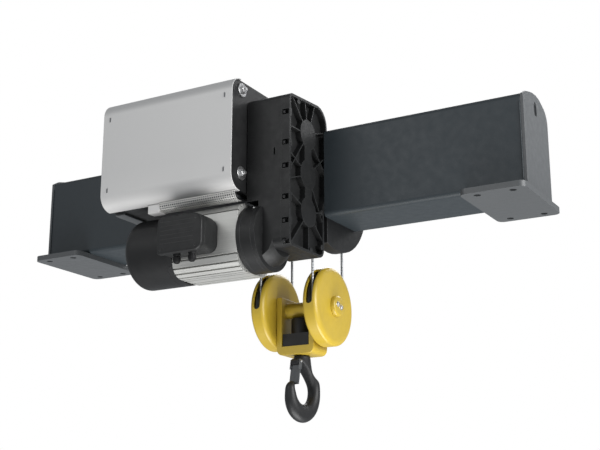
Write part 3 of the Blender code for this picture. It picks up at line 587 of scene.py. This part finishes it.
def make_gears():
    skin("gear_case", "black_cast", 0.003, 3)
    slot = as_mesh("slot", stack('Y', [(stadium(SLOT_X, SLOT_Z, 0.0030, 0.0135), y) for y in (-0.38, -0.354)]))
    skin("gearbox_housing", "black_cast", 0.0022, 3, [slot])
    skin("gearbox_cover", "black_cast", 0.0008, 2)

    screws = bmesh.new()
    for z in COVER_BOLT_Z:
        socket_screw(screws, 'X', (BOX_Y0 + 0.0045, z), BOX_X1 + 0.0085, 0.0066, 0.0070)
    piece("cover_edge_screws", as_mesh("screws", screws), "frame", "forged_black",
          [f"cover_bolt_{i}" for i in range(1, 7)])

    lugs = bmesh.new()
    screwed = [(BOX_Y1 - LUG_INSET, 0.030), (BOX_Y1 - LUG_INSET, -0.095)]
    for y, z in screwed + [(COVER_Y1 - LUG_INSET, 0.325), (-0.300, 0.388), (-0.215, -0.122)]:
        lathe_work('X', (y, z), [(0, LUG_X1), (LUG_R, LUG_X1), (LUG_R, LUG_X0), (0, LUG_X0)], 24, lugs)
    soften(piece("cover_lugs", as_mesh("lugs", lugs), "frame", "black_cast"), 0.0008)
    heads = bmesh.new()
    for y, z in screwed:
        socket_screw(heads, 'X', (y, z), LUG_X1 - 0.0035, 0.0058, 0.0039)
    piece("cover_face_screws", as_mesh("heads", heads), "frame", "forged_black")


# ---------------------------------------------------------------- motor
def make_motor():
    skin("motor_body", "motor_aluminium", 0.0007, 2)
    r, x0 = BRAKE_R, BRAKE_X0
    profile = [(0, x0 + 0.004), (r - 0.064, x0 + 0.004), (r - 0.062, x0 + 0.0032), (r - 0.0600, x0 + 0.0012)]
    profile += arc(r - BRAKE_CORNER, x0 + BRAKE_CORNER, BRAKE_CORNER, -90, 0, 10)
    end = MOTOR_X0
    profile += [(r, end - 0.030), (r - 0.0008, end - 0.0295), (r - 0.0008, end - 0.0275), (r, end - 0.027),
                (r, end - 0.0012), (r - 0.0012, end), (0, end)]
    lathe("look_brake_cover", 'X', MOTOR, profile, "frame", "black_cover", "brake_cover", 128)

    screws = bmesh.new()
    for i in range(4):
        t = math.radians(-140 + 90 * i)
        y, z = MOTOR[0] + (r - 0.001) * math.cos(t), MOTOR[1] + (r - 0.001) * math.sin(t)
        join(screws, round_knob((end - 0.014, y, z), (0, math.cos(t), math.sin(t)), 0.0046, 0.0028))
    piece("brake_cover_screws", as_mesh("brake_screws", screws), "frame", "forged_black")

    x1, xf = MOTOR_X1, FLANGE_X1
    profile = [(0, x1), (0.1155, x1), (FLANGE_R, x1 + 0.0015), (FLANGE_R, x1 + 0.0160), (0.1158, x1 + 0.0172),
               (0.1158, x1 + 0.0196), (FLANGE_R, x1 + 0.0208), (FLANGE_R, xf - 0.0012), (0.1158, xf), (0, xf)]
    lathe("look_motor_flange", 'X', MOTOR, profile, "frame", "black_cast", "motor_flange", 128)
    screw = round_knob((xf - 0.014, MOTOR[0] - 0.0700, MOTOR[1] + 0.0930), (0, -0.60, 0.80), 0.0052, 0.0034)
    piece("flange_screw", as_mesh("flange_screw", screw), "frame", "bright_steel")


def round_knob(place, direction, radius, height):
    """A pan head screw that stands along a direction."""
    work = bmesh.new()
    profile = [(0, -0.002), (radius, -0.002), (radius, height * 0.5), (radius * 0.8, height * 0.9),
               (radius * 0.45, height), (radius * 0.4, height * 0.45, 6), (0, height * 0.4)]
    lathe_work('Z', (0, 0), profile, 24, work)
    turn = Vector(direction).to_track_quat('Z', 'Y').to_matrix().to_4x4()
    bmesh.ops.transform(work, matrix=Matrix.Translation(Vector(place)) @ turn, verts=work.verts)
    return work


def join(work, other):
    mesh = bpy.data.meshes.new("part")
    other.to_mesh(mesh)
    other.free()
    work.from_mesh(mesh)
    bpy.data.meshes.remove(mesh)


def make_terminal_box():
    x0, z0, x1, z1 = TERMINAL

    def outline(inset, drop=0.0):
        radii = [max(r - inset, 0.004) for r in TERMINAL_CORNERS]
        return rounded(x0 + inset, z0 - drop + inset, x1 - inset, z1 - inset, radii, 8)

    y0, split, y1 = TERMINAL_Y0, TERMINAL_SPLIT, TERMINAL_Y1
    base = stack('Y', [(outline(0.0012), split + GAP), (outline(0), split + 0.0016), (outline(0), y1 - 0.014),
                       (outline(0.0030), y1 - 0.006), (outline(0.0030), y1)])
    piece("look_terminal_box", as_mesh("terminal", base), "frame", "black_cast", "terminal_box")
    steps = [(0.0022, split), (0.001, split - 0.0012)] + arc(0.0075, y0 + 0.0065, 0.0065, 180, 255)
    lid = stack('Y', [(outline(inset, LID_DROP), y) for inset, y in steps + [(0.0076, y0)]])
    piece("look_terminal_box_lid", as_mesh("lid", lid), "frame", "black_cast", "terminal_box_lid")

    ribs = bmesh.new()
    rib = ((0.0010, -0.0026), (-0.0004, -0.0012), (-0.0004, 0.0012), (0.0010, 0.0026))
    for i in range(6):
        z = z0 + 0.0300 + i * 0.0150
        section = [(y0 + y, z + h) for y, h in rib]
        stack('X', [(section, x) for x in (x0 + 0.016, x1 - 0.034)], ribs)
    piece("terminal_lid_ribs", as_mesh("ribs", ribs), "frame", "black_cast")

    screws = bmesh.new()
    for x, z in ((x0 + 0.016, z0 + 0.010), (x1 - 0.026, z0 + 0.012), (x0 + 0.020, z1 - 0.016),
                 (x1 - 0.026, z1 - 0.020)):
        socket_screw(screws, 'Y', (x, z), y0 + 0.0010, 0.0050, 0.0022, -1)
    piece("terminal_lid_screws", as_mesh("lid_screws", screws), "frame", "forged_black")

    top = z0 - GAP
    turned = [(0.0118, 0.0100), (0.0112, 0.0105), (0.0112, 0.0125), (0.0132, 0.0135), (0.0134, 0.0180),
              (0.0132, 0.0250), (0.0120, 0.0285), (0.0100, 0.0320), (0.0085, 0.0340), (0.0062, 0.0340),
              (0.0058, 0.0300), (0, 0.0295)]
    profile = [(0, top), (0.0125, top, 6), (0.0125, top - 0.0085, 6)]
    profile += [(r, top - depth) for r, depth in turned]
    grip = (16, 0.0006, top - 0.0260, top - 0.0136)
    for number, x in enumerate(GLAND_X, 1):
        lathe(f"look_cable_gland_{number}", 'Z', (x, GLAND_Y), profile, "frame", "gland_plastic",
              f"cable_gland_{number}", 96, 40, grip)


# ---------------------------------------------------------------- control panel
def panel_profile(inset, back, steps=14):
    front, low, high = PANEL_FRONT + inset, PANEL_Z0 + inset, PANEL_Z1 - inset
    r = PANEL_BEND - inset
    bends = arc(front + r, low + r, r, 270, 180, steps) + arc(front + r, high - r, r, 180, 90, steps)
    return [(back, low)] + bends + [(back, high)]


def make_panel():
    x0, x1, t, skin_wall = PANEL_X0, PANEL_X1, PANEL_INSET, PANEL_SKIN
    sheet = panel_profile(0, PANEL_LIP) + panel_profile(skin_wall, PANEL_LIP)[::-1]
    cover = piece("look_panel_cover", as_mesh("cover", stack('X', [(sheet, x0), (sheet, x1)])), "frame",
                  "panel_silver", "panel_cover", 30)
    soften(cover, 0.0009, 2, 50)
    body = panel_profile(skin_wall + GAP, PANEL_BACK)
    case = piece("look_panel_case", as_mesh("case", stack('X', [(body, x0 + t), (body, x1 - t)])), "frame",
                 "black_cover", "panel_case", 30)
    soften(case, 0.0020, 3, 50)

    bolts = bmesh.new()
    for z in PANEL_BOLT_Z:
        centre, face = (PANEL_BOLT_Y, z), x1 - t + GAP
        lathe_work('X', centre, [(0, face), (0.0238, face), (0.0245, face + 0.0006), (0.0245, face + 0.0026),
                                 (0.0238, face + 0.0032), (0.0085, face + 0.0032)], 48, bolts)
        hex_bolt(bolts, 'X', centre, face + 0.0032, 0.0122, 1, False)
        lathe_work('X', centre, [(0, face + 0.0130), (0.0064, face + 0.0130), (0.0064, face + 0.0190),
                                 (0.0056, face + 0.0198), (0, face + 0.0198)], 24, bolts)
    piece("panel_side_bolts", as_mesh("bolts", bolts), "frame", "bright_steel",
          ["panel_bolt_1", "panel_bolt_2"])

    spots = [(x, z) for x in (x0 + 0.030, x1 - 0.030) for z in (PANEL_Z0 + 0.0655, PANEL_Z1 - 0.072)]
    rims, slots = bmesh.new(), bmesh.new()
    for x, z in spots:
        for work, steps in ((rims, ((0.0042, 0.0001), (0.0042, 0.0005), (0.0034, 0.0010))),
                            (slots, ((0.0026, 0.0008), (0.0026, 0.0016), (0.0018, 0.0021)))):
            stack('Y', [(stadium(x, z, r, r + 0.0060), PANEL_FRONT - rise) for r, rise in steps], work)
    piece("panel_fastener_rims", as_mesh("rims", rims), "frame", "panel_silver")
    piece("panel_fasteners", as_mesh("slots", slots), "frame", "latch_steel",
          [f"panel_screw_{i}" for i in range(1, 5)])

    for node in ("panel_arm_left", "panel_arm_right"):
        skin(node, "grey_paint", 0.0012)

    rear = bmesh.new()
    for x in (x0 + 0.030, (x0 + x1) / 2, x1 - 0.030):
        for z in (PANEL_Z0 + 0.030, PANEL_Z1 - 0.030):
            join(rear, round_knob((x, PANEL_BACK, z), (0, 1, 0), 0.0052, 0.0034))
    piece("panel_rear_screws", as_mesh("rear", rear), "frame", "bright_steel")


# a square's corners and side middles, for each hole's cell in the guard
AROUND = ((-1, -1), (0, -1), (1, -1), (1, 0), (1, 1), (0, 1), (-1, 1), (-1, 0))


def make_guard():
    """A bent sheet with real holes, eight-sided ones, and the finned resistor inside its bend."""
    bend = arc(GUARD_FRONT + GUARD_BEND, GUARD_LOW + GUARD_BEND, GUARD_BEND, 270, 180, 8)
    line = [(GUARD_BACK, GUARD_LOW)] + bend + [(GUARD_FRONT, GUARD_HIGH)]
    lengths = [0.0]
    for a, b in zip(line, line[1:]):
        lengths.append(lengths[-1] + math.dist(a, b))

    def along(distance, depth):
        """The sheet's Y and Z at a distance along its bent section, and below its outer face."""
        for (a, b), s0, s1 in zip(zip(line, line[1:]), lengths, lengths[1:]):
            if distance <= s1 or s1 == lengths[-1]:
                share = (distance - s0) / (s1 - s0)
                y, z = a[0] + (b[0] - a[0]) * share, a[1] + (b[1] - a[1]) * share
                ny, nz = -(b[1] - a[1]) / (s1 - s0), (b[0] - a[0]) / (s1 - s0)
                return y - ny * depth, z - nz * depth

    x0, total = GUARD_X0, lengths[-1]
    columns, rows = round((GUARD_X1 - x0) / HOLE_PITCH), round(total / HOLE_PITCH)
    dx, ds = (GUARD_X1 - x0) / columns, total / rows
    work = bmesh.new()
    made = {}

    def vertex(x, s, layer):
        key = (round(x, 6), round(s, 6), layer)
        if key not in made:
            y, z = along(min(max(s, 0), total), layer * GUARD_WALL * 0.6)
            made[key] = work.verts.new((x, y, z))
        return made[key]

    for i in range(columns):
        for j in range(rows):
            cx, cs = x0 + (i + 0.5) * dx, (j + 0.5) * ds
            border = [(cx + u * dx / 2, cs + v * ds / 2) for u, v in AROUND]
            hole = arc(cx, cs, HOLE_R, 225, 585, 8)[:8]
            for k in range(8):
                m = (k + 1) % 8
                flat = (border[k], border[m], hole[m], hole[k])
                for layer in (0, 1):
                    work.faces.new([vertex(*spot, layer) for spot in flat])
                wall = ((hole[k], 0), (hole[m], 0), (hole[m], 1), (hole[k], 1))
                work.faces.new([vertex(*spot, layer) for spot, layer in wall])
    edge = [e for e in work.edges if len(e.link_faces) == 1]
    bmesh.ops.bridge_loops(work, edges=edge)
    piece("look_resistor_guard", as_mesh("guard", work), "frame", "guard_aluminium", "resistor_guard", 50)

    fins = bmesh.new()
    profile = [(0, x0)]
    for i in range(FIN_COUNT):
        x = x0 + FINNED_LENGTH * i / FIN_COUNT
        profile += [(0.0072, x), (0.0102, x + 0.0012), (0.0102, x + 0.0030), (0.0072, x + 0.0042)]
    profile += [(0.0072, RESISTOR_X1), (0, RESISTOR_X1)]
    lathe_work('X', RESISTOR, profile, 24, fins)
    piece("look_brake_resistor", as_mesh("fins", fins), "frame", "drum_steel", "brake_resistor", 40)
    skin("resistor_box", "panel_silver", 0.0018, 3)


# ---------------------------------------------------------------- drum and ropes
def make_drum():
    shaft, r, x0, x1 = DRUM_SHAFT_R, DRUM_R, DRUM_X0, DRUM_X1
    profile = [(0, x0 - 0.050), (shaft - 0.0015, x0 - 0.050), (shaft, x0 - 0.0485), (shaft, x0), (0.110, x0),
               (0.1132, x0 + 0.0012), (0.1140, x0 + 0.0030), (0.1140, x0 + 0.0110), (0.1125, x0 + 0.0132),
               (r, x0 + 0.0145)]
    x = x0 + 0.020
    while x < GROOVES_END:
        profile += [(r, x), (r - 0.0012, x + 0.0016), (r - 0.0022, x + 0.0045), (r - 0.0012, x + 0.0074),
                    (r, x + 0.0090)]
        x += GROOVE_PITCH
    profile += [(r, x1), (shaft, x1), (shaft, x1 + 0.0085), (shaft - 0.0015, x1 + 0.010), (0, x1 + 0.010)]
    lathe("look_rope_drum", 'X', (0, DRUM_Z), profile, "drum", "drum_steel", "rope_drum", 96)
    radius, per_turn = r + ROPE_R + 0.0002, 84
    count = round(WINDING_TURNS * per_turn)
    for name, start, end in WINDINGS:
        first, last = start + ROPE_R, end - ROPE_R
        points = []
        for i in range(count + 1):
            t = math.pi - 2 * math.pi * WINDING_TURNS * (1 - i / count)
            x = first + (last - first) * i / count
            points.append(Vector((x, radius * math.cos(t), DRUM_Z + radius * math.sin(t))))
        mesh = rope_mesh(f"winding_{name}", points, ROPE_R, 0.090, 18)
        piece(f"look_rope_winding_{name}", mesh, "drum", "wire_rope", f"rope_winding_{name}", 60)
    skin("drum_bearing_plate", "grey_paint", 0.0012)


def make_falls():
    for side, x in zip(("left", "right"), FALL_X):
        for name, y, top in (("front", -FALL_R, DRUM_Z), ("rear", FALL_R, REAR_FALL_TOP)):
            low = SHEAVE_Z + GAP
            count = round((top - low) / 0.003)
            points = straight(Vector((x, y, top)), Vector((x, y, low)), count)
            mesh = rope_mesh(f"fall_{side}_{name}", points)
            made = bpy.data.objects.new(f"look_{side}_{name}_fall", mesh)
            scene.collection.objects.link(made)
            mesh.materials.append(GRAPHS["wire_rope"].material)
            mesh.shade_smooth()
            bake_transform(made)
            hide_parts(f"{side}_{name}_fall")
        turns = [math.pi + math.pi * i / 96 for i in range(97)]
        points = [Vector((x, FALL_R * math.cos(t), SHEAVE_Z + FALL_R * math.sin(t))) for t in turns]
        piece(f"look_{side}_rope_wrap", rope_mesh(f"wrap_{side}", points), "hook_block", "wire_rope",
              f"{side}_rope_wrap", 60)
        skin(f"{side}_rope_anchor", "bright_steel", 0.0012)
        socket = bmesh.new()
        lathe_work('Z', (x, FALL_R), [(0.0050, 0.0400), (0.0074, 0.0400), (0.0082, 0.0385), (0.0086, 0.0330),
                                      (0.0080, 0.0250), (0.0062, 0.0160), (0.0050, 0.0160)], 32, socket)
        piece(f"{side}_rope_socket", as_mesh("socket", socket), "frame", "drum_steel")


# ---------------------------------------------------------------- hook block
def make_sheaves():
    for side, x in zip(("left", "right"), FALL_X):
        away = -1 if side == "left" else 1
        make_housing(side, x, away)
        r, half, bore = SHEAVE_R, SHEAVE_HALF, AXLE_R + RUN
        groove = FALL_R - ROPE_R - GAP
        profile = [(r - 0.001, half), (r, half - 0.001), (r, half - 0.0025)]
        profile += [(groove + 0.0046 - 0.0046 * math.sin(math.radians(a)), 0.0050 * math.cos(math.radians(a)))
                    for a in range(15, 166, 15)]
        web = [(0.094, half), (0.090, 0.007), (0.040, 0.007), (0.036, 0.0185), (bore, 0.0185)]
        profile += [(r, -half + 0.0025), (r, -half + 0.001), (r - 0.001, -half)]
        profile += [(a, -h) for a, h in web] + web[::-1]
        lathe(f"look_{side}_sheave", 'X', (0, SHEAVE_Z), [(a, x + h) for a, h in profile],
              f"{side}_sheave_wheel", "drum_steel", f"{side}_sheave", 96)
    x0, x1 = FALL_X[0] - HOUSING_HALF, FALL_X[1] + HOUSING_HALF
    profile = [(0, x0), (AXLE_R, x0), (AXLE_R, x1), (0, x1)]
    lathe("look_sheave_axle", 'X', (0, SHEAVE_Z), profile, "hook_block", "drum_steel", "sheave_axle", 48)


def make_housing(side, x, away):
    """A dished round cover, open for the ropes at the front and the back."""
    r, half, wall, bore = HOUSING_R, HOUSING_HALF, HOUSING_WALL, AXLE_R + RUN
    face = [(bore, half), (0.046, half), (0.052, half - 0.0018), (0.098, half - 0.0024),
            (0.106, half - 0.0008), (r - 0.020, half - 0.0006)]
    rim, drop = 0.0205, 0.0134
    face += [(r - rim + rim * math.sin(math.radians(a)), half - 0.0140 + drop * math.cos(math.radians(a)))
             for a in range(15, 91, 15)]
    profile = [(a, x + h) for a, h in face] + [(a, x - h) for a, h in reversed(face)]
    shell = lathe(f"look_{side}_sheave_housing", 'X', (0, SHEAVE_Z), profile, "hook_block", "hook_yellow",
                  f"{side}_sheave_housing", 112)
    depths = [(0, half - wall), (r - 0.026, half - wall), (r - 0.009, half - 0.0105),
              (r - wall - 0.003, half - 0.016)]
    inside = [(a, x + h) for a, h in depths] + [(a, x - h) for a, h in reversed(depths)]
    cutters = [as_mesh("hollow", lathe_work('X', (0, SHEAVE_Z), inside, 72))]
    low, w = SHEAVE_Z - 0.010, 0.0135
    loop = arc(x, low + w, w, 180, 360, 12) + [(x + w, 0), (x - w, 0)]
    for y0, y1 in ((-0.2, -0.062), (0.062, 0.2)):
        cutters.append(as_mesh("window", stack('Y', [(loop, y0), (loop, y1)])))
    cut(shell, cutters)
    shell.data.shade_smooth()
    shell.data.set_sharp_from_angle(angle=math.radians(30))
    soften(shell, 0.0009, 2, 40)

    start = x + away * (half + GAP)
    rises = [(0, 0), (0.0368, 0), (0.0370, 0.0010), (0.0362, 0.0118), (0.0350, 0.0135), (0.0300, 0.0163),
             (0.0285, 0.0165), (0, 0.0165)]
    profile = [(a, start + away * h) for a, h in rises]
    lathe(f"look_{side}_axle_cap", 'X', (0, SHEAVE_Z), profile, "hook_block", "hook_yellow",
          f"{side}_axle_cap", 72)
    bolts = bmesh.new()
    for y, z in ((-0.0120, 0.0040), (0.0120, -0.0040)):
        hex_bolt(bolts, 'X', (y, SHEAVE_Z + z), start + away * 0.0160, 0.0060, away, True)
    piece(f"{side}_cap_bolts", as_mesh("cap_bolts", bolts), "hook_block", "bright_steel")


def make_yoke():
    skin("hook_carrier", "hook_yellow", 0.0022, 3)
    skin("bearing_block", "forged_black", 0.0025, 3)
    profile = [(0.0258, -0.3644), (0.0370, -0.3644), (0.0380, -0.3634), (0.0380, -0.3115), (0.0368, -0.3090),
               (0.0355, -0.3080), (0.0258, -0.3080)]
    lathe("look_hook_nut", 'Z', (HOOK_X, 0), profile, "hook_swivel", "forged_black", "hook_nut", 64)


# the hook's sections down to the bowl: (towards the tip, height), lean in degrees, half width, half thickness
STATIONS = [((0, -0.313), 0, 0.0235, 0.0235)]
STATIONS += [((0, z), 0, SHANK_R, SHANK_R) for z in (-0.316, -0.360, -0.400, -0.4395)]
STATIONS += [((0, -0.4425), 0, 0.0300, 0.0295), ((-0.001, -0.451), 5, 0.034, 0.029),
             ((-0.008, -0.474), 22, 0.037, 0.026), ((-0.028, -0.503), 42, 0.030, 0.025)]
# round the bowl: angle in degrees, half width, half thickness
BOWL = ((150, 0.0235, 0.0245), (165, 0.0215, 0.0242), (180, 0.0205, 0.0240), (194, 0.0215, 0.0242),
        (208, 0.0235, 0.0245), (223, 0.0265, 0.0250), (238, 0.0295, 0.0255), (253, 0.0318, 0.0259),
        (268, 0.0330, 0.0260), (283, 0.0325, 0.0259), (298, 0.0305, 0.0255), (312, 0.0275, 0.0247),
        (326, 0.0240, 0.0235), (339, 0.0208, 0.0220), (352, 0.0180, 0.0200), (4, 0.0155, 0.0180),
        (14, 0.0135, 0.0160), (24, 0.0095, 0.0115), (28, 0.0045, 0.0060))
TIP_SPREAD = 0.004


def make_hook():
    """A swept body: round shank, collar, shoulder, then sections round the bowl to the tip."""
    stations = list(STATIONS)
    for angle, half_width, half_thick in BOWL:
        t = math.radians(angle)
        reach = BOWL_R + half_width + (TIP_SPREAD if angle < 90 else 0)
        stations.append(((reach * math.cos(t), BOWL_Z + reach * math.sin(t)), None, half_width, half_thick))
    turn = Matrix.Translation((HOOK_X, 0, 0)) @ Matrix.Rotation(HOOK_TURN, 4, 'Z')
    work, rows, sides = bmesh.new(), [], 20
    for (u, z), lean, half_width, half_thick in stations:
        if lean is None:
            across = -Vector((u, 0, z - BOWL_Z)).normalized()
        else:
            across = Vector((math.cos(math.radians(lean)), 0, math.sin(math.radians(lean))))
        row = []
        for corner in range(sides):
            t = 2 * math.pi * corner / sides
            point = Vector((u, half_thick * math.sin(t), z)) + across * (half_width * math.cos(t))
            row.append(work.verts.new(turn @ point))
        rows.append(row)
    hook = piece("look_hook", as_mesh("hook", loft(work, rows)), "hook_swivel", "forged_black", "hook", 70)
    smooth = hook.modifiers.new("smooth", 'SUBSURF')
    smooth.levels = smooth.render_levels = 2

    across = Vector((-math.sin(HOOK_TURN), math.cos(HOOK_TURN), 0))
    along = Vector((math.cos(HOOK_TURN), math.sin(HOOK_TURN), 0))
    u, z = LATCH_PIVOT
    pivot = Vector((HOOK_X, 0, 0)) + along * u + Vector((0, 0, z))
    to_pin = Matrix.Translation(pivot) @ across.to_track_quat('Z', 'Y').to_matrix().to_4x4()
    ear, pin = bmesh.new(), bmesh.new()
    lathe_work('Z', (0, 0), [(0.0046, -0.0165), (0.0105, -0.0165), (0.0120, -0.0150), (0.0120, 0.0150),
                             (0.0105, 0.0165), (0.0046, 0.0165)], 40, ear)
    lathe_work('Z', (0, 0), [(0, -0.0250), (0.0032, -0.0250), (0.0040, -0.0242), (0.0040, 0.0242),
                             (0.0032, 0.0250), (0, 0.0250)], 24, pin)
    for made in (ear, pin):
        bmesh.ops.transform(made, matrix=to_pin, verts=made.verts)
    piece("hook_ear", as_mesh("ear", ear), "hook_swivel", "forged_black")
    piece("look_latch_pin", as_mesh("pin", pin), "hook_swivel", "bright_steel", "latch_pin")
    skin("safety_latch", "latch_steel", 0.0006, 2)


# ---------------------------------------------------------------- everything
make_beam()
make_gears()
make_motor()
make_terminal_box()
make_panel()
make_guard()
make_drum()
make_falls()
make_sheaves()
make_yoke()
make_hook()
